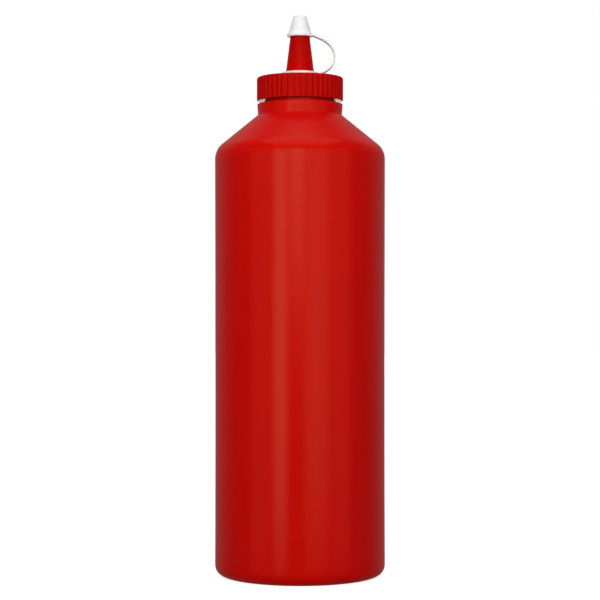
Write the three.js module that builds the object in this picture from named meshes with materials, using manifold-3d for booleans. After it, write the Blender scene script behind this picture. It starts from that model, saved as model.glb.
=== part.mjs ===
// A one-litre ketchup squeeze bottle that stands on its base, in millimetres, +Z up, with the origin at the
// middle of the base. It is three mouldings: the red bottle, the red ribbed screw cap with its nozzle, and
// the white tip cap, which is one piece with its strap and the ring that keeps it on the nozzle.
import * as THREE from "three";
import { mergeVertices } from "three/addons/utils/BufferGeometryUtils.js";
import Module from "manifold-3d";

// Driving dimensions: bottle
const BODY_RADIUS = 41;
const WAIST_DEPTH = 0.12; // how far the wall draws in at half height
const PUSH_UP = 2.6; // hollow under the base
const PUSH_UP_FLAT_SHARE = 0.7; // of the hollow's radius, before it turns down
const STANDING_RING_WIDTH = 4;
const BASE_ROUND = 5.2;
const SHOULDER_CORNER_Z = 204.85; // where the wall and the shoulder cone would meet without the round
const SHOULDER_SLOPE = THREE.MathUtils.degToRad(39.2); // of the cone, below the horizontal
const SHOULDER_ROUND = 9;
const COLLAR_TOP_Z = 227.2;
const COLLAR_FOOT_RADIUS = 20.25;
const COLLAR_RIM_RADIUS = 20.65;
const COLLAR_EDGE = 0.5;
const NECK_RADIUS = 16.6;

// Driving dimensions: screw cap and nozzle
const CAP_FOOT_Z = 228.8;
const CAP_TOP_Z = 240.05;
const CAP_RADIUS = 20.85; // over the ribs
const CAP_PANEL = 1.6; // thickness of its top
const CAP_EDGE_ROUND = 1.3;
const CAP_FOOT_CHAMFER = 0.5;
const CAP_TRIM_CLEARANCE = 0.1; // of the trimming form round the ribs
const RECESS_OVERCUT = 1; // of the neck's recess below the cap's foot
const RIB_COUNT = 48;
const RIB_DEPTH = 0.5;
const RIB_FOOT_SHARE = 0.56; // of the pitch
const RIB_CREST_SHARE = 0.24;
const NOZZLE_FOOT_RADIUS = 7.1;
const NOZZLE_END_RADIUS = 4.74;
const NOZZLE_END_Z = 259.2;

// Driving dimensions: tip cap, strap and ring
const TIP_FOOT_Z = 259.7;
const TIP_TOP_Z = 269.7;
const TIP_FLANGE_HEIGHT = 2.4;
const TIP_FLANGE_RIM = 1.2; // height of the flange's upright edge, below its flare
const TIP_FLANGE_RADIUS = 6.2;
const TIP_CONE_RADIUS = 5.3; // just above the flange
const TIP_TOP_RADIUS = 3.05;
const TIP_EDGE = 0.3;
const TIP_WALL = 1;
const RING_RADIUS = 8.7;
const RING_TOP_Z = 242.5;
const STRAP_WIDTH = 5.4;
const STRAP_THICKNESS = 0.8;
const STRAP_REACH = 16.7; // of its middle line, from the axis
const STRAP_REACH_Z = 249.8;
const STRAP_FALL = THREE.MathUtils.degToRad(20); // at the flange
const STRAP_ROOT = 1.1; // how far its ends run into the flange and the ring
const STRAP_RISE = 1.1; // of its root above the flange's foot
const STRAP_UPPER_CURVE = 6.5; // how stiffly it leaves the flange and comes to its furthest reach
const STRAP_LOWER_CURVE = 5; // how stiffly it goes on down
const STRAP_RING_CURVE = 3.2; // how stiffly it comes into the ring

const FIT_GAP = 0.3; // between pieces that touch

// How finely the round forms are cut
const BODY_SIDES = 72;
const NOZZLE_SIDES = 48;
const CURVE_STEPS = 4; // steps of a profile's curve, twice as many on an arc
const STRAP_STEPS = 12; // on each half
const MERGE_DISTANCE = 1e-3; // vertices closer than this are one

const RED = 0xb3140c;
const DEEP_RED = 0xab120b;
const WHITE = 0xf0efe9;
const RED_ROUGHNESS = 0.4;
const WHITE_ROUGHNESS = 0.45;

const wasm = await Module();
wasm.setup();

// A lathe solid about the Z axis. The profile's x is the radius and its y the height, and it runs from the
// bottom to the top, so that the faces point out.
function turned(profile, sides) {
  const points = profile instanceof THREE.Path ? profile.getPoints(CURVE_STEPS) : profile;
  return new THREE.LatheGeometry(points, sides).rotateX(Math.PI / 2);
}

function point(radius, height) {
  return new THREE.Vector2(radius, height);
}

function toSolid(geometry) {
  const bare = new THREE.BufferGeometry();
  bare.setAttribute("position", geometry.getAttribute("position"));
  bare.setIndex(geometry.getIndex());
  const merged = mergeVertices(bare, MERGE_DISTANCE);
  const mesh = new wasm.Mesh({
    numProp: 3,
    vertProperties: merged.getAttribute("position").array,
    triVerts: new Uint32Array(merged.getIndex().array),
  });
  return new wasm.Manifold(mesh);
}

function toGeometry(solid) {
  const mesh = solid.getMesh();
  const geometry = new THREE.BufferGeometry();
  geometry.setAttribute("position", new THREE.BufferAttribute(mesh.vertProperties, 3));
  geometry.setIndex(new THREE.BufferAttribute(mesh.triVerts, 1));
  geometry.computeVertexNormals();
  return geometry;
}

function named(name, geometry, color, roughness) {
  const material = new THREE.MeshStandardMaterial({ color, roughness, metalness: 0 });
  const mesh = new THREE.Mesh(geometry, material);
  mesh.name = name;
  return mesh;
}

// Nozzle radius at a height: one straight taper from the cap's top to the nozzle's end.
function nozzleRadius(z) {
  const share = (z - CAP_TOP_Z) / (NOZZLE_END_Z - CAP_TOP_Z);
  return THREE.MathUtils.lerp(NOZZLE_FOOT_RADIUS, NOZZLE_END_RADIUS, share);
}

// Outer radius of the tip cap's cone at a height, carried on below the flange's top.
function tipRadius(z) {
  const coneFootZ = TIP_FOOT_Z + TIP_FLANGE_HEIGHT;
  const share = (z - coneFootZ) / (TIP_TOP_Z - coneFootZ);
  return THREE.MathUtils.lerp(TIP_CONE_RADIUS, TIP_TOP_RADIUS, share);
}

// The bottle: a hollow base with a flat standing ring, a faintly waisted wall, a cone shoulder and a collar.
// It is shut and opaque, so it is one solid up to the top of its neck.
function bottleGeometry() {
  const standRadius = BODY_RADIUS - BASE_ROUND;
  const innerStandRadius = standRadius - STANDING_RING_WIDTH;
  const roundTurn = Math.PI / 2 - SHOULDER_SLOPE;
  const wallTopZ = SHOULDER_CORNER_Z - SHOULDER_ROUND * Math.tan(roundTurn / 2);
  const neckTopZ = CAP_TOP_Z - CAP_PANEL - FIT_GAP;
  const collarFootZ = SHOULDER_CORNER_Z + (BODY_RADIUS - COLLAR_FOOT_RADIUS) * Math.tan(SHOULDER_SLOPE);

  const profile = new THREE.Path();
  profile.moveTo(0, PUSH_UP);
  profile.quadraticCurveTo(innerStandRadius * PUSH_UP_FLAT_SHARE, PUSH_UP, innerStandRadius, 0);
  profile.lineTo(standRadius, 0);
  profile.absarc(standRadius, BASE_ROUND, BASE_ROUND, -Math.PI / 2, 0, false);
  profile.quadraticCurveTo(BODY_RADIUS - 2 * WAIST_DEPTH, (BASE_ROUND + wallTopZ) / 2, BODY_RADIUS, wallTopZ);
  profile.absarc(BODY_RADIUS - SHOULDER_ROUND, wallTopZ, SHOULDER_ROUND, 0, roundTurn, false);
  profile.lineTo(COLLAR_FOOT_RADIUS, collarFootZ);
  profile.lineTo(COLLAR_RIM_RADIUS, COLLAR_TOP_Z - COLLAR_EDGE);
  profile.lineTo(COLLAR_RIM_RADIUS - COLLAR_EDGE, COLLAR_TOP_Z);
  profile.lineTo(NECK_RADIUS, COLLAR_TOP_Z);
  profile.lineTo(NECK_RADIUS, neckTopZ);
  profile.lineTo(0, neckTopZ);
  return turned(profile, BODY_SIDES);
}

// The skirt's outline from above: narrow ribs with flat valleys between them.
function ribbedOutline() {
  const pitch = (2 * Math.PI) / RIB_COUNT;
  const valleyRadius = CAP_RADIUS - RIB_DEPTH;
  const corners = [];
  for (let rib = 0; rib < RIB_COUNT; rib++) {
    const middle = rib * pitch;
    const ribCorners = [
      [valleyRadius, -RIB_FOOT_SHARE],
      [CAP_RADIUS, -RIB_CREST_SHARE],
      [CAP_RADIUS, RIB_CREST_SHARE],
      [valleyRadius, RIB_FOOT_SHARE],
    ];
    for (const [radius, share] of ribCorners) {
      const angle = middle + (share * pitch) / 2;
      corners.push(point(radius * Math.cos(angle), radius * Math.sin(angle)));
    }
  }
  return new THREE.Shape(corners);
}

// The form that trims the ribs: round at the cap's top edge and chamfered at its foot.
function capEnvelope() {
  const outside = CAP_RADIUS + CAP_TRIM_CLEARANCE;
  const profile = new THREE.Path();
  profile.moveTo(0, CAP_FOOT_Z);
  profile.lineTo(outside - CAP_FOOT_CHAMFER, CAP_FOOT_Z);
  profile.lineTo(outside, CAP_FOOT_Z + CAP_FOOT_CHAMFER);
  profile.lineTo(outside, CAP_TOP_Z - CAP_EDGE_ROUND);
  profile.absarc(outside - CAP_EDGE_ROUND, CAP_TOP_Z - CAP_EDGE_ROUND, CAP_EDGE_ROUND, 0, Math.PI / 2, false);
  profile.lineTo(0, CAP_TOP_Z);
  return turned(profile, BODY_SIDES);
}

// The nozzle: a long taper, then a steeper tip that fills the tip cap.
function nozzle() {
  const tipTopZ = TIP_TOP_Z - TIP_WALL - FIT_GAP;
  const profile = [
    point(0, CAP_TOP_Z - CAP_PANEL / 2),
    point(nozzleRadius(CAP_TOP_Z - CAP_PANEL / 2), CAP_TOP_Z - CAP_PANEL / 2),
    point(NOZZLE_END_RADIUS, NOZZLE_END_Z),
    point(tipRadius(tipTopZ) - TIP_WALL - FIT_GAP, tipTopZ),
    point(0, tipTopZ),
  ];
  return turned(profile, NOZZLE_SIDES);
}

// The recess that takes the bottle's neck.
function capRecess() {
  const radius = NECK_RADIUS + FIT_GAP;
  const ceilingZ = CAP_TOP_Z - CAP_PANEL;
  const profile = [
    point(0, CAP_FOOT_Z - RECESS_OVERCUT),
    point(radius, CAP_FOOT_Z - RECESS_OVERCUT),
    point(radius, ceilingZ),
    point(0, ceilingZ),
  ];
  return turned(profile, BODY_SIDES);
}

function capGeometry() {
  const extrusion = { depth: CAP_TOP_Z - CAP_FOOT_Z, bevelEnabled: false };
  const ribbed = new THREE.ExtrudeGeometry(ribbedOutline(), extrusion).translate(0, 0, CAP_FOOT_Z);
  const skirt = toSolid(ribbed).intersect(toSolid(capEnvelope()));
  return toGeometry(skirt.add(toSolid(nozzle())).subtract(toSolid(capRecess())));
}

// The tip cap: a cone cup with a flat top and a flange round its mouth.
function tipCup() {
  const ceilingZ = TIP_TOP_Z - TIP_WALL;
  const flangeTopZ = TIP_FOOT_Z + TIP_FLANGE_HEIGHT;
  const profile = [
    point(0, ceilingZ),
    point(tipRadius(ceilingZ) - TIP_WALL, ceilingZ),
    point(tipRadius(TIP_FOOT_Z) - TIP_WALL, TIP_FOOT_Z),
    point(TIP_FLANGE_RADIUS - TIP_EDGE, TIP_FOOT_Z),
    point(TIP_FLANGE_RADIUS, TIP_FOOT_Z + TIP_EDGE),
    point(TIP_FLANGE_RADIUS, TIP_FOOT_Z + TIP_FLANGE_RIM),
    point(TIP_CONE_RADIUS, flangeTopZ),
    point(tipRadius(TIP_TOP_Z - TIP_EDGE), TIP_TOP_Z - TIP_EDGE),
    point(TIP_TOP_RADIUS - TIP_EDGE, TIP_TOP_Z),
    point(0, TIP_TOP_Z),
  ];
  return turned(profile, NOZZLE_SIDES);
}

// The ring round the nozzle's foot, lying on the cap.
function keeperRing() {
  const footZ = CAP_TOP_Z + FIT_GAP;
  const footRadius = nozzleRadius(footZ) + FIT_GAP;
  const profile = [
    point(footRadius, footZ),
    point(RING_RADIUS, footZ),
    point(RING_RADIUS, RING_TOP_Z),
    point(nozzleRadius(RING_TOP_Z) + FIT_GAP, RING_TOP_Z),
    point(footRadius, footZ),
  ];
  return turned(profile, NOZZLE_SIDES);
}

// The strap's middle line, in the XZ plane: out of the flange, round its furthest reach and into the ring.
function strapPath() {
  const flangeEnd = new THREE.Vector3(TIP_FLANGE_RADIUS - STRAP_ROOT, 0, TIP_FOOT_Z + STRAP_RISE);
  const furthest = new THREE.Vector3(STRAP_REACH, 0, STRAP_REACH_Z);
  const ringEnd = new THREE.Vector3(RING_RADIUS - STRAP_ROOT, 0, (CAP_TOP_Z + FIT_GAP + RING_TOP_Z) / 2);
  const outward = new THREE.Vector3(Math.cos(STRAP_FALL), 0, -Math.sin(STRAP_FALL));
  const upper = new THREE.CubicBezierCurve3(
    flangeEnd,
    flangeEnd.clone().addScaledVector(outward, STRAP_UPPER_CURVE),
    furthest.clone().add(new THREE.Vector3(0, 0, STRAP_UPPER_CURVE)),
    furthest,
  );
  const lower = new THREE.CubicBezierCurve3(
    furthest,
    furthest.clone().add(new THREE.Vector3(0, 0, -STRAP_LOWER_CURVE)),
    ringEnd.clone().add(new THREE.Vector3(STRAP_RING_CURVE, 0, 0)),
    ringEnd,
  );
  const path = new THREE.CurvePath();
  path.add(upper);
  path.add(lower);
  return path;
}

function strap() {
  const section = new THREE.Shape([
    point(-STRAP_WIDTH / 2, -STRAP_THICKNESS / 2),
    point(STRAP_WIDTH / 2, -STRAP_THICKNESS / 2),
    point(STRAP_WIDTH / 2, STRAP_THICKNESS / 2),
    point(-STRAP_WIDTH / 2, STRAP_THICKNESS / 2),
  ]);
  return new THREE.ExtrudeGeometry(section, { steps: 2 * STRAP_STEPS, extrudePath: strapPath() });
}

function tipCapGeometry() {
  return toGeometry(toSolid(tipCup()).add(toSolid(keeperRing())).add(toSolid(strap())));
}

const squeezeBottle = new THREE.Group();
squeezeBottle.add(named("bottle", bottleGeometry(), RED, RED_ROUGHNESS));
squeezeBottle.add(named("cap", capGeometry(), DEEP_RED, RED_ROUGHNESS));
squeezeBottle.add(named("tip_cap", tipCapGeometry(), WHITE, WHITE_ROUGHNESS));

export default squeezeBottle;
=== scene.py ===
"""The looks of a one-litre ketchup squeeze bottle that stands shut, with its tip cap on.

It makes the bottle's three mouldings, a plain pale floor, soft studio light and the photograph's camera.
Lengths are in metres, +Z is up, and the origin is the middle of the bottle's base.
"""

import math

import bpy
import numpy as np
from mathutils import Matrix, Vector


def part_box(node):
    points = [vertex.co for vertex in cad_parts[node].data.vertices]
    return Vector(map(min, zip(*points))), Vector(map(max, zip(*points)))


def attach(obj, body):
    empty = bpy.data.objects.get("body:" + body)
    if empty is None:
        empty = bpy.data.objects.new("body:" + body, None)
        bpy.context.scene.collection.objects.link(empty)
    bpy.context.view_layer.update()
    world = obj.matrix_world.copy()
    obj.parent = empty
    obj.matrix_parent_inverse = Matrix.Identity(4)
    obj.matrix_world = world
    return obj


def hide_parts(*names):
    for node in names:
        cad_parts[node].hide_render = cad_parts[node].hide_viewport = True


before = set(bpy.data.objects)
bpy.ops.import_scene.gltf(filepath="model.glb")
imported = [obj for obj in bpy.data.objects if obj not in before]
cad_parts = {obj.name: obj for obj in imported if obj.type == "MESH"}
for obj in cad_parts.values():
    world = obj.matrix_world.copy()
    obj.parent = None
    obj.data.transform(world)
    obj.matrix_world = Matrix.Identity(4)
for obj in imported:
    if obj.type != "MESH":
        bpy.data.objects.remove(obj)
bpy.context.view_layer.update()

MM = 0.001

# Sizes read from the frame
BODY_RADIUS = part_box("bottle")[1].x
NECK_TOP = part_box("bottle")[1].z
CAP_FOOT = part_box("cap")[0].z
CAP_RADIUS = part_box("cap")[1].y  # over the ribs
NOZZLE_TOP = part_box("cap")[1].z
RING_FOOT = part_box("tip_cap")[0].z
RING_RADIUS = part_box("tip_cap")[1].y
TIP_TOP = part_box("tip_cap")[1].z

# Bottle
PUSH_UP = 2.6 * MM  # hollow under the base
PUSH_UP_FLAT_RADIUS = 17 * MM
PUSH_UP_ROUND = 60 * MM
STAND_INNER_RADIUS = 31.8 * MM  # the flat standing ring lies outside it
STAND_INNER_ROUND = 1 * MM
BASE_ROUND = 5.2 * MM
WAIST_DEPTH = 0.12 * MM
SHOULDER_CORNER = 204.85 * MM  # where the wall and the shoulder cone would meet without the round
SHOULDER_SLOPE = math.radians(39.2)
SHOULDER_ROUND = 9 * MM
COLLAR_FOOT_RADIUS = 20.25 * MM
COLLAR_FOOT_ROUND = 0.8 * MM
COLLAR_RIM_RADIUS = 20.65 * MM
COLLAR_TOP = 227.2 * MM
COLLAR_EDGE = 0.5 * MM
NECK_RADIUS = 16.6 * MM
NECK_EDGE = 0.3 * MM
UNEVENNESS = 0.06 * MM  # of the blown wall
PARTING_ANGLE = math.radians(8)  # of the mould's halves, from +X
PARTING_HEIGHT = 0.08 * MM
PARTING_WIDTH = 0.22 * MM
BODY_SIDES = 288

# Screw cap and nozzle
FIT_GAP = 0.3 * MM
CAP_TOP = RING_FOOT - FIT_GAP
CAP_PANEL = 1.6 * MM
CAP_EDGE_ROUND = 1.3 * MM
CAP_FOOT_ROUND = 0.5 * MM
CAP_INSIDE_ROUND = 0.4 * MM
RIB_COUNT = 48
RIB_DEPTH = 0.5 * MM
RIB_FOOT_SHARE = 0.56  # of the pitch
RIB_CREST_SHARE = 0.24
RIB_BLEND = 0.1 * MM  # how softly a rib runs out at the cap's edges
RIB_SAMPLES = 12
NOZZLE_FOOT_RADIUS = 7.1 * MM
NOZZLE_FOOT_ROUND = 0.3 * MM
NOZZLE_END_RADIUS = 4.74 * MM
NOZZLE_END = 259.2 * MM
NOZZLE_END_ROUND = 0.3 * MM
NOZZLE_TIP_RADIUS = 2.13 * MM

# Tip cap, strap and ring
TIP_FOOT = 259.7 * MM
TIP_WALL = 1 * MM
TIP_FLANGE_RADIUS = 6.2 * MM
TIP_FLANGE_RIM = 1.2 * MM
TIP_FLANGE_HEIGHT = 2.4 * MM
TIP_FLANGE_EDGE = 0.3 * MM
TIP_CONE_RADIUS = 5.3 * MM  # just above the flange
TIP_CONE_ROUND = 0.6 * MM
TIP_TOP_RADIUS = 3.05 * MM
TIP_TOP_EDGE = 0.35 * MM
TIP_INSIDE_EDGE = 0.2 * MM
RING_TOP = 242.5 * MM
RING_EDGE = 0.25 * MM
TIP_SIDES = 128
STRAP_WIDTH = 5.4 * MM
STRAP_THICKNESS = 0.8 * MM
STRAP_CORNER = 0.35 * MM
STRAP_REACH = 16.7 * MM
STRAP_REACH_HEIGHT = 249.8 * MM
STRAP_FALL = math.radians(20)  # at the flange
STRAP_ROOT = 1.1 * MM
STRAP_RISE = 1.1 * MM
STRAP_UPPER_CURVE = 6.5 * MM
STRAP_LOWER_CURVE = 5 * MM
STRAP_RING_CURVE = 3.2 * MM
STRAP_FLARE = 0.15  # how much wider its ends are
STRAP_FLARE_LENGTH = 1.2 * MM
STRAP_STEPS = 40

# How finely forms are cut
ARC_STEP = math.radians(7)
RUN_STEP = 3 * MM
PARTING_SAMPLES = 13  # across a parting line
FLOOR_SIDES = 96
ON_AXIS = 1e-9  # a smaller radius counts as none
RED_CREASE = math.radians(50)  # edges sharper than this stay sharp
TIP_CREASE = math.radians(40)

# Finishes, where a pair is the range that a noise spreads over
BOTTLE_REDS = (0.63, 0.0014, 0.0007), (0.65, 0.0016, 0.0008)
BOTTLE_ROUGHNESS = 0.185, 0.215
RED_GLOSS = 0.108
RED_GLOSS_TINT = (1, 1, 0.58, 1)
STREAK_STRETCH = (1, 1, 0.03)  # of the noise, which draws it out along the bottle
STREAK_HEIGHT = 0.0015 * MM
RED_SKIN_HEIGHT = 0.001 * MM
CAP_REDS = (0.49, 0.0008, 0.0005), (0.52, 0.0010, 0.0006)
CAP_ROUGHNESS = 0.22, 0.28
CAP_GLOSS = 0.037
TIP_WHITES = (0.95, 0.955, 0.95), (0.97, 0.975, 0.97)
TIP_ROUGHNESS = 0.36, 0.44
TIP_SKIN_HEIGHT = 0.002 * MM
TIP_SUBSURFACE = 0.3
TIP_SUBSURFACE_DEPTH = 1.5 * MM
NOISE_LOW, NOISE_HIGH = 0.3, 0.7  # where most of a noise's values lie

# Photograph's camera, level and straight on
CAMERA_LENS = 108
CAMERA_SENSOR = 36
CAMERA_DISTANCE = 869.8 * MM
CAMERA_HEIGHT = 130.2 * MM
CAMERA_RISE = 5 / 600  # of the picture's middle above the horizon, as a share of the picture

# Stage
FLOOR_RADIUS = 4
FLOOR_COLOR = (0.9, 0.9, 0.9, 1)
FLOOR_ROUGHNESS = 0.9
FLOOR_NEAR_RADIUS = 0.3  # the lights carry the floor's brightness inside it
FLOOR_FAR_RADIUS = 1.5  # the floor's own glow does so outside it
FLOOR_NEAR_GLOW = 0.75
FLOOR_FAR_GLOW = 1
AIM_HEIGHT = 0.13  # that the lights' places are measured from
BEAM_HEIGHT = 0.3  # that the lights face
GRID_BEAM = math.radians(70)
OPEN_BEAM = math.pi  # of a light without a grid
RIM_COLOR = (1, 0.93, 0.75)
ROOM_BELOW = 0.13
ROOM_LEVEL = 0.2
ROOM_ABOVE = 0.24


# Turned forms

def arc(before, corner, after, radius):
    """Points of the arc that rounds a corner between its two neighbours."""
    into = (corner - before) / np.linalg.norm(corner - before)
    out = (after - corner) / np.linalg.norm(after - corner)
    turn = math.atan2(into[0] * out[1] - into[1] * out[0], into @ out)
    start = corner - into * radius * math.tan(abs(turn) / 2)
    spoke = math.copysign(radius, turn) * np.array([into[1], -into[0]])
    middle = start - spoke
    count = max(2, math.ceil(abs(turn) / ARC_STEP))
    points = []
    for step in range(count + 1):
        angle = turn * step / count
        cos, sin = math.cos(angle), math.sin(angle)
        points.append(middle + np.array([cos * spoke[0] - sin * spoke[1], sin * spoke[0] + cos * spoke[1]]))
    return points


def outline(corners, closed=False):
    """A profile through (radius, height, rounding) corners, with long runs cut into short steps."""
    places = [np.array(corner[:2], float) for corner in corners]
    points = []
    for index, place in enumerate(places):
        rounding = corners[index][2]
        if rounding:
            after = places[(index + 1) % len(places)]
            points += arc(places[index - 1], place, after, rounding)
        else:
            points.append(place)
    if closed:
        points.append(points[0])
    fine = [points[0]]
    for start, end in zip(points, points[1:]):
        count = max(1, math.ceil(np.linalg.norm(end - start) / RUN_STEP))
        fine += [start + (end - start) * step / count for step in range(1, count + 1)]
    return np.array(fine)


def even_angles(count):
    return np.arange(count) * 2 * math.pi / count


def ring_faces(rows, columns):
    """Quads between the rows of a grid whose columns close on themselves."""
    faces = []
    for row in range(rows - 1):
        for column in range(columns):
            after = (column + 1) % columns
            here, above = row * columns, (row + 1) * columns
            faces.append((here + column, here + after, above + after, above + column))
    return faces


def mesh_object(name, points, faces):
    mesh = bpy.data.meshes.new(name)
    mesh.from_pydata([tuple(point) for point in points], [], faces)
    mesh.validate()
    piece = bpy.data.objects.new(name, mesh)
    bpy.context.scene.collection.objects.link(piece)
    return piece


def turned(name, radii, heights, angles):
    """A closed form from a grid of radii and heights, one row for each profile point. A row on the axis
    becomes one point, and a profile that ends where it starts closes on itself."""
    rows, columns = radii.shape
    points = np.stack([radii * np.cos(angles), radii * np.sin(angles), heights], axis=-1).reshape(-1, 3)
    faces = ring_faces(rows, columns)
    merged = np.arange(rows * columns)
    for row in (0, rows - 1):
        if radii[row].max() < ON_AXIS:
            merged[row * columns:(row + 1) * columns] = row * columns
    if radii[0].max() > ON_AXIS:
        merged[(rows - 1) * columns:] = np.arange(columns)
    kept, places = np.unique(merged, return_inverse=True)
    clean = []
    for face in faces:
        corners = list(dict.fromkeys(places[corner] for corner in face))
        if len(corners) > 2:
            clean.append(tuple(int(corner) for corner in corners))
    return mesh_object(name, points[kept], clean)


def smooth(piece, crease):
    """Shades a piece smooth, apart from edges sharper than the crease angle."""
    piece.data.polygons.foreach_set("use_smooth", [True] * len(piece.data.polygons))
    piece.data.set_sharp_from_angle(angle=crease)


def smooth_step(low, high, value):
    share = np.clip((value - low) / (high - low), 0, 1)
    return share * share * (3 - 2 * share)


# Bottle

def bottle_outline():
    collar_foot = SHOULDER_CORNER + (BODY_RADIUS - COLLAR_FOOT_RADIUS) * math.tan(SHOULDER_SLOPE)
    return outline([
        (0, PUSH_UP, 0),
        (PUSH_UP_FLAT_RADIUS, PUSH_UP, PUSH_UP_ROUND),
        (STAND_INNER_RADIUS, 0, STAND_INNER_ROUND),
        (BODY_RADIUS, 0, BASE_ROUND),
        (BODY_RADIUS, SHOULDER_CORNER, SHOULDER_ROUND),
        (COLLAR_FOOT_RADIUS, collar_foot, COLLAR_FOOT_ROUND),
        (COLLAR_RIM_RADIUS, COLLAR_TOP, COLLAR_EDGE),
        (NECK_RADIUS, COLLAR_TOP, COLLAR_EDGE / 2),
        (NECK_RADIUS, NECK_TOP, NECK_EDGE),
        (0, NECK_TOP, 0),
    ])


def bottle_angles():
    """Even angles, with finer ones across the mould's two parting lines."""
    reach = 2 * math.pi / BODY_SIDES
    across = np.linspace(-reach, reach, PARTING_SAMPLES)
    lines = [PARTING_ANGLE + across, PARTING_ANGLE + math.pi + across]
    angles = np.concatenate([even_angles(BODY_SIDES), *lines]) % (2 * math.pi)
    return np.unique(np.round(angles, 5))


def wall_share(height):
    """How far up the straight wall a height is, from 0 to 1."""
    return np.clip((height - BASE_ROUND) / (SHOULDER_CORNER - SHOULDER_ROUND / 2 - BASE_ROUND), 0, 1)


def bottle_relief(angle, radius, height):
    """How far the skin stands off the turned form: the waist, the wall's slow waves and the parting line."""
    share = wall_share(height)
    bow = 4 * share * (1 - share)
    # Three waves of different lengths, which run round and up the wall
    waves = np.sin(2 * angle + 38 * height) * np.sin(3 * angle - 51 * height + 1)
    waves = waves + 0.5 * np.sin(7 * angle + 22 * height + 2)
    uneven = UNEVENNESS * (waves / 3 - 0.5) * bow
    beside = radius * np.sin(angle - PARTING_ANGLE) / PARTING_WIDTH
    ridge = np.minimum(PARTING_HEIGHT * np.exp(-beside * beside), height / 2)
    return uneven - WAIST_DEPTH * bow + ridge


def bottle():
    profile = bottle_outline()
    angles = bottle_angles()
    along = np.gradient(profile, axis=0)
    along /= np.linalg.norm(along, axis=1, keepdims=True)
    radius = profile[:, :1]
    height = profile[:, 1:]
    relief = bottle_relief(angles[None, :], radius, height)
    on_axis = radius < ON_AXIS
    radii = np.where(on_axis, 0, radius + along[:, 1:] * relief)
    heights = np.where(on_axis, height, height - along[:, :1] * relief)
    piece = turned("bottle_body", radii, heights, angles)
    smooth(piece, RED_CREASE)
    return piece


# Screw cap

def nozzle_radius(height):
    share = (height - CAP_TOP) / (NOZZLE_END - CAP_TOP)
    return NOZZLE_FOOT_RADIUS + (NOZZLE_END_RADIUS - NOZZLE_FOOT_RADIUS) * share


def cap_outline():
    inside = NECK_RADIUS + FIT_GAP
    ceiling = CAP_TOP - CAP_PANEL
    outside = CAP_RADIUS + RIB_BLEND
    return outline([
        (0, ceiling, 0),
        (inside, ceiling, CAP_INSIDE_ROUND),
        (inside, CAP_FOOT, CAP_INSIDE_ROUND),
        (outside, CAP_FOOT, CAP_FOOT_ROUND),
        (outside, CAP_TOP, CAP_EDGE_ROUND),
        (NOZZLE_FOOT_RADIUS, CAP_TOP, NOZZLE_FOOT_ROUND),
        (NOZZLE_END_RADIUS, NOZZLE_END, NOZZLE_END_ROUND),
        (NOZZLE_TIP_RADIUS, NOZZLE_TOP, NOZZLE_END_ROUND),
        (0, NOZZLE_TOP, 0),
    ])


def rib_limit(angles):
    """The skirt's radius at an angle: rounded ribs with flat valleys between them."""
    place = angles * RIB_COUNT / (2 * math.pi)
    beside = np.abs(place - np.round(place))
    valley = smooth_step(RIB_CREST_SHARE / 2, RIB_FOOT_SHARE / 2, beside)
    return CAP_RADIUS - RIB_DEPTH * valley


def cap():
    profile = cap_outline()
    angles = even_angles(RIB_COUNT * RIB_SAMPLES)
    radius = profile[:, :1]
    limit = rib_limit(angles)[None, :]
    ribbed = (radius + limit - np.sqrt((radius - limit) ** 2 + RIB_BLEND ** 2)) / 2
    radii = np.where(radius > NECK_RADIUS + 2 * FIT_GAP, ribbed, radius + 0 * limit)
    heights = profile[:, 1:] + 0 * limit
    piece = turned("screw_cap", radii, heights, angles)
    smooth(piece, RED_CREASE)
    return piece


# Tip cap

def tip_radius(height):
    cone_foot = TIP_FOOT + TIP_FLANGE_HEIGHT
    share = (height - cone_foot) / (TIP_TOP - cone_foot)
    return TIP_CONE_RADIUS + (TIP_TOP_RADIUS - TIP_CONE_RADIUS) * share


def plain_turned(name, profile):
    angles = even_angles(TIP_SIDES)
    grid = np.zeros((len(profile), len(angles)))
    return turned(name, profile[:, :1] + grid, profile[:, 1:] + grid, angles)


def tip_cup():
    ceiling = TIP_TOP - TIP_WALL
    return plain_turned("tip_cap_cup", outline([
        (0, ceiling, 0),
        (tip_radius(ceiling) - TIP_WALL, ceiling, TIP_INSIDE_EDGE),
        (tip_radius(TIP_FOOT) - TIP_WALL, TIP_FOOT, TIP_INSIDE_EDGE),
        (TIP_FLANGE_RADIUS, TIP_FOOT, TIP_FLANGE_EDGE),
        (TIP_FLANGE_RADIUS, TIP_FOOT + TIP_FLANGE_RIM, TIP_FLANGE_EDGE),
        (TIP_CONE_RADIUS, TIP_FOOT + TIP_FLANGE_HEIGHT, TIP_CONE_ROUND),
        (TIP_TOP_RADIUS, TIP_TOP, TIP_TOP_EDGE),
        (0, TIP_TOP, 0),
    ]))


def keeper_ring():
    return plain_turned("tip_cap_ring", outline([
        (nozzle_radius(RING_FOOT) + FIT_GAP, RING_FOOT, RING_EDGE),
        (RING_RADIUS, RING_FOOT, RING_EDGE),
        (RING_RADIUS, RING_TOP, RING_EDGE),
        (nozzle_radius(RING_TOP) + FIT_GAP, RING_TOP, RING_EDGE),
    ], closed=True))


def bezier(points, shares):
    start, leave, arrive, end = [np.array(point) for point in points]
    gone = shares[:, None]
    left = 1 - gone
    return left ** 3 * start + 3 * left ** 2 * gone * leave + 3 * left * gone ** 2 * arrive + gone ** 3 * end


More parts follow.
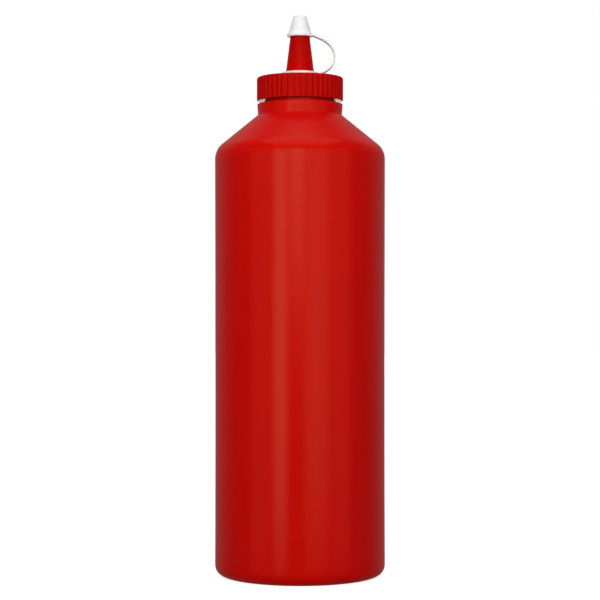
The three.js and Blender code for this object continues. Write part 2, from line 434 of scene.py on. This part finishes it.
def strap_path():
    """The strap's middle line as (x, z) points: out of the flange, round its furthest reach and into the
    ring."""
    flange_end = np.array([TIP_FLANGE_RADIUS - STRAP_ROOT, TIP_FOOT + STRAP_RISE])
    furthest = np.array([STRAP_REACH, STRAP_REACH_HEIGHT])
    ring_end = np.array([RING_RADIUS - STRAP_ROOT, (RING_FOOT + RING_TOP) / 2])
    outward = np.array([math.cos(STRAP_FALL), -math.sin(STRAP_FALL)])
    up = np.array([0, 1])
    shares = np.linspace(0, 1, STRAP_STEPS + 1)
    upper = bezier([
        flange_end,
        flange_end + outward * STRAP_UPPER_CURVE,
        furthest + up * STRAP_UPPER_CURVE,
        furthest,
    ], shares)
    lower = bezier([
        furthest,
        furthest - up * STRAP_LOWER_CURVE,
        ring_end + np.array([STRAP_RING_CURVE, 0]),
        ring_end,
    ], shares)
    return np.concatenate([upper, lower[1:]])


def strap_section():
    """The strap's cut as (across, through) points: a rectangle with rounded corners."""
    across = STRAP_WIDTH / 2
    through = STRAP_THICKNESS / 2
    corners = [(-across, -through), (across, -through), (across, through), (-across, through)]
    section = outline([(x, y, STRAP_CORNER) for x, y in corners], closed=True)
    return section[:-1]


def strap():
    path = strap_path()
    section = strap_section()
    along = np.gradient(path, axis=0)
    along /= np.linalg.norm(along, axis=1, keepdims=True)
    steps = np.linalg.norm(np.diff(path, axis=0), axis=1)
    length = np.concatenate([[0], np.cumsum(steps)])
    to_end = np.minimum(length, length[-1] - length)
    wider = 1 + STRAP_FLARE * np.exp(-(to_end / STRAP_FLARE_LENGTH) ** 2)
    points = []
    for place, direction, scale in zip(path, along, wider):
        for across, through in section:
            x = place[0] - direction[1] * through
            z = place[1] + direction[0] * through
            points.append((x, across * scale, z))
    rows, columns = len(path), len(section)
    faces = ring_faces(rows, columns)
    faces.append(tuple(range(columns))[::-1])
    faces.append(tuple(range((rows - 1) * columns, rows * columns)))
    return mesh_object("tip_cap_strap", points, faces)


def face_outward(piece):
    """Turns a closed piece's faces to point out."""
    bpy.context.view_layer.objects.active = piece
    piece.select_set(True)
    bpy.ops.object.mode_set(mode="EDIT")
    bpy.ops.mesh.select_all(action="SELECT")
    bpy.ops.mesh.normals_make_consistent(inside=False)
    bpy.ops.object.mode_set(mode="OBJECT")
    piece.select_set(False)


def join(piece, other):
    """Fuses another closed piece into this one."""
    union = piece.modifiers.new("union", "BOOLEAN")
    union.operation = "UNION"
    union.solver = "EXACT"
    union.object = other
    bpy.context.view_layer.objects.active = piece
    bpy.ops.object.modifier_apply(modifier=union.name)
    bpy.data.objects.remove(other)


def tip_cap():
    piece = tip_cup()
    others = [keeper_ring(), strap()]
    for part in [piece, *others]:
        face_outward(part)
    for other in others:
        join(piece, other)
    piece.name = "tip_cap_moulding"
    smooth(piece, TIP_CREASE)
    return piece


# Materials

def material(name):
    """A new material with its node tree, its Principled shader and the object's own coordinates."""
    made = bpy.data.materials.new(name)
    made.use_nodes = True
    nodes = made.node_tree.nodes
    shader = nodes["Principled BSDF"]
    place = nodes.new("ShaderNodeTexCoord").outputs["Object"]
    return made, shader, place


def noise(made, place, scale, detail, stretch=(1, 1, 1)):
    """A noise value at the object's place, stretched along its axes."""
    tree = made.node_tree
    mapping = tree.nodes.new("ShaderNodeMapping")
    mapping.inputs["Scale"].default_value = stretch
    tree.links.new(place, mapping.inputs["Vector"])
    texture = tree.nodes.new("ShaderNodeTexNoise")
    texture.inputs["Scale"].default_value = scale
    texture.inputs["Detail"].default_value = detail
    tree.links.new(mapping.outputs["Vector"], texture.inputs["Vector"])
    return texture.outputs["Fac"]


def spread(made, value, low, high):
    """Maps a noise value to a range."""
    tree = made.node_tree
    node = tree.nodes.new("ShaderNodeMapRange")
    node.inputs["From Min"].default_value = NOISE_LOW
    node.inputs["From Max"].default_value = NOISE_HIGH
    node.inputs["To Min"].default_value = low
    node.inputs["To Max"].default_value = high
    tree.links.new(value, node.inputs["Value"])
    return node.outputs["Result"]


def between(made, value, first, second):
    """Mixes two colours by a noise value."""
    tree = made.node_tree
    ramp = tree.nodes.new("ShaderNodeValToRGB")
    ramp.color_ramp.elements[0].position = NOISE_LOW
    ramp.color_ramp.elements[0].color = (*first, 1)
    ramp.color_ramp.elements[1].position = NOISE_HIGH
    ramp.color_ramp.elements[1].color = (*second, 1)
    tree.links.new(value, ramp.inputs["Fac"])
    return ramp.outputs["Color"]


def bump(made, value, height, under=None):
    """A bump of a height in metres, over another bump where one is given."""
    tree = made.node_tree
    node = tree.nodes.new("ShaderNodeBump")
    node.inputs["Distance"].default_value = height
    tree.links.new(value, node.inputs["Height"])
    if under is not None:
        tree.links.new(under, node.inputs["Normal"])
    return node.outputs["Normal"]


def bottle_plastic():
    """Red blow-moulded polyethylene: satin, with faint upright streaks and a fine skin."""
    made, shader, place = material("red_bottle_plastic")
    link = made.node_tree.links.new
    streaks = noise(made, place, scale=260, detail=3, stretch=STREAK_STRETCH)
    mottle = noise(made, place, scale=45, detail=4)
    skin = noise(made, place, scale=1500, detail=2)
    link(between(made, mottle, *BOTTLE_REDS), shader.inputs["Base Color"])
    link(spread(made, streaks, *BOTTLE_ROUGHNESS), shader.inputs["Roughness"])
    relief = bump(made, streaks, STREAK_HEIGHT)
    link(bump(made, skin, RED_SKIN_HEIGHT, relief), shader.inputs["Normal"])
    shader.inputs["Specular IOR Level"].default_value = RED_GLOSS
    shader.inputs["Specular Tint"].default_value = RED_GLOSS_TINT
    return made


def cap_plastic():
    """Red injection-moulded polypropylene: a little deeper and less glossy than the bottle."""
    made, shader, place = material("red_cap_plastic")
    link = made.node_tree.links.new
    mottle = noise(made, place, scale=120, detail=3)
    skin = noise(made, place, scale=2200, detail=2)
    link(between(made, mottle, *CAP_REDS), shader.inputs["Base Color"])
    link(spread(made, mottle, *CAP_ROUGHNESS), shader.inputs["Roughness"])
    link(bump(made, skin, RED_SKIN_HEIGHT), shader.inputs["Normal"])
    shader.inputs["Specular IOR Level"].default_value = CAP_GLOSS
    shader.inputs["Specular Tint"].default_value = RED_GLOSS_TINT
    return made


def tip_plastic():
    """White soft polyethylene that lets a little light through."""
    made, shader, place = material("white_tip_plastic")
    link = made.node_tree.links.new
    mottle = noise(made, place, scale=250, detail=3)
    skin = noise(made, place, scale=2500, detail=2)
    link(between(made, mottle, *TIP_WHITES), shader.inputs["Base Color"])
    link(spread(made, mottle, *TIP_ROUGHNESS), shader.inputs["Roughness"])
    link(bump(made, skin, TIP_SKIN_HEIGHT), shader.inputs["Normal"])
    shader.inputs["Subsurface Weight"].default_value = TIP_SUBSURFACE
    shader.inputs["Subsurface Radius"].default_value = (1, 1, 1)
    shader.inputs["Subsurface Scale"].default_value = TIP_SUBSURFACE_DEPTH
    return made


def floor_paint():
    """Plain pale paint, with a glow that keeps it pale where the lights don't reach."""
    made, shader, place = material("floor_paint")
    tree = made.node_tree
    distance = tree.nodes.new("ShaderNodeVectorMath")
    distance.operation = "LENGTH"
    tree.links.new(place, distance.inputs[0])
    glow = tree.nodes.new("ShaderNodeMapRange")
    glow.inputs["From Min"].default_value = FLOOR_NEAR_RADIUS
    glow.inputs["From Max"].default_value = FLOOR_FAR_RADIUS
    glow.inputs["To Min"].default_value = FLOOR_NEAR_GLOW
    glow.inputs["To Max"].default_value = FLOOR_FAR_GLOW
    tree.links.new(distance.outputs["Value"], glow.inputs["Value"])
    tree.links.new(glow.outputs["Result"], shader.inputs["Emission Strength"])
    shader.inputs["Base Color"].default_value = FLOOR_COLOR
    shader.inputs["Roughness"].default_value = FLOOR_ROUGHNESS
    shader.inputs["Emission Color"].default_value = (1, 1, 1, 1)
    return made


# Stage

def floor():
    """A pale disc that the camera sees, and that throws no light, shadow or reflection on the bottle."""
    angles = even_angles(FLOOR_SIDES)
    rim = np.stack([np.cos(angles), np.sin(angles), 0 * angles], axis=-1) * FLOOR_RADIUS
    piece = mesh_object("floor", rim, [tuple(range(len(angles)))])
    piece.data.materials.append(floor_paint())
    piece.visible_diffuse = False
    piece.visible_glossy = False
    piece.visible_shadow = False


def camera():
    data = bpy.data.cameras.new("camera")
    data.lens = CAMERA_LENS
    data.sensor_width = CAMERA_SENSOR
    data.shift_y = CAMERA_RISE
    made = bpy.data.objects.new("camera", data)
    made.location = (0, -CAMERA_DISTANCE, CAMERA_HEIGHT)
    made.rotation_euler = (math.pi / 2, 0, 0)
    bpy.context.scene.collection.objects.link(made)
    bpy.context.scene.camera = made


def softbox(name, azimuth, elevation, distance, width, height, radiance, beam=GRID_BEAM):
    """A rectangular light that faces a point just above the bottle. Unless another beam is given, it is
    narrowed as by a grid, so that less light reaches the base. Azimuth and elevation are in degrees, and
    azimuth is 0 on the camera's side and grows to the right."""
    turn, tilt = math.radians(azimuth), math.radians(elevation)
    away = Vector((math.sin(turn) * math.cos(tilt), -math.cos(turn) * math.cos(tilt), math.sin(tilt)))
    data = bpy.data.lights.new(name, "AREA")
    data.shape = "RECTANGLE"
    data.size = width
    data.size_y = height
    data.spread = beam
    data.energy = radiance * math.pi * width * height
    made = bpy.data.objects.new(name, data)
    made.location = Vector((0, 0, AIM_HEIGHT)) + away * distance
    back = made.location - Vector((0, 0, BEAM_HEIGHT))
    made.rotation_euler = back.to_track_quat("Z", "Y").to_euler()
    made.visible_camera = False
    bpy.context.scene.collection.objects.link(made)
    return made


def studio_light():
    """Softboxes in front for the upright highlights, overhead for the shoulder and behind for the back. The
    back fill gives no reflections, so that the edges stay dark from the front."""
    # Name, azimuth, elevation, distance, width, height and radiance
    softbox("strip_left", -26, 12.5, 1.2, 0.38, 1.04, 0.5)
    softbox("strip_right", 22.5, 12.5, 1.2, 0.75, 1.04, 0.26)
    softbox("front_fill", -4, 18, 1.3, 0.42, 0.76, 0.53)
    softbox("wide_left", -54, 13, 1.2, 0.65, 1.2, 0.085)
    softbox("wide_right", 56, 13, 1.2, 0.65, 1.2, 0.1)
    softbox("side_left", -122, 12, 1.2, 0.8, 1.2, 0.01)
    softbox("side_right", 122, 12, 1.2, 0.8, 1.2, 0.01)
    softbox("overhead", 0, 77, 0.6, 0.61, 0.62, 1.0, OPEN_BEAM)
    softbox("back_strip", 180, 12.5, 1.3, 0.14, 1.04, 0.55)
    for side, name in ((-1, "left"), (1, "right")):
        rim = softbox(f"back_{name}", side * 143, 42, 1.2, 0.75, 0.65, 0.02)
        rim.data.color = RIM_COLOR
        fill = softbox(f"back_fill_{name}", side * 150, 15, 1.3, 0.9, 1.1, 0.32)
        fill.visible_glossy = False


def surroundings(below, level, above):
    """A white backdrop for the camera and a dim room for everything else."""
    world = bpy.data.worlds.new("studio")
    world.use_nodes = True
    bpy.context.scene.world = world
    tree = world.node_tree
    tree.nodes.clear()
    direction = tree.nodes.new("ShaderNodeTexCoord")
    split = tree.nodes.new("ShaderNodeSeparateXYZ")
    height = tree.nodes.new("ShaderNodeMapRange")
    height.inputs["From Min"].default_value = -1
    ramp = tree.nodes.new("ShaderNodeValToRGB")
    middle = ramp.color_ramp.elements.new(0.5)
    shades = zip((ramp.color_ramp.elements[0], middle, ramp.color_ramp.elements[-1]), (below, level, above))
    for element, shade in shades:
        element.color = (shade, shade, shade, 1)
    room = tree.nodes.new("ShaderNodeBackground")
    backdrop = tree.nodes.new("ShaderNodeBackground")
    backdrop.inputs["Color"].default_value = (1, 1, 1, 1)
    path = tree.nodes.new("ShaderNodeLightPath")
    chosen = tree.nodes.new("ShaderNodeMixShader")
    result = tree.nodes.new("ShaderNodeOutputWorld")
    tree.links.new(direction.outputs["Generated"], split.inputs["Vector"])
    tree.links.new(split.outputs["Z"], height.inputs["Value"])
    tree.links.new(height.outputs["Result"], ramp.inputs["Fac"])
    tree.links.new(ramp.outputs["Color"], room.inputs["Color"])
    tree.links.new(path.outputs["Is Camera Ray"], chosen.inputs["Fac"])
    tree.links.new(room.outputs["Background"], chosen.inputs[1])
    tree.links.new(backdrop.outputs["Background"], chosen.inputs[2])
    tree.links.new(chosen.outputs["Shader"], result.inputs["Surface"])


def dress(piece, finish, node):
    """Gives a piece its material and puts it in its CAD node's place."""
    piece.data.materials.append(finish)
    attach(piece, "root")
    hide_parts(node)


camera()
floor()
studio_light()
surroundings(ROOM_BELOW, ROOM_LEVEL, ROOM_ABOVE)
bpy.context.scene.view_settings.view_transform = "Standard"

dress(bottle(), bottle_plastic(), "bottle")
dress(cap(), cap_plastic(), "cap")
dress(tip_cap(), tip_plastic(), "tip_cap")
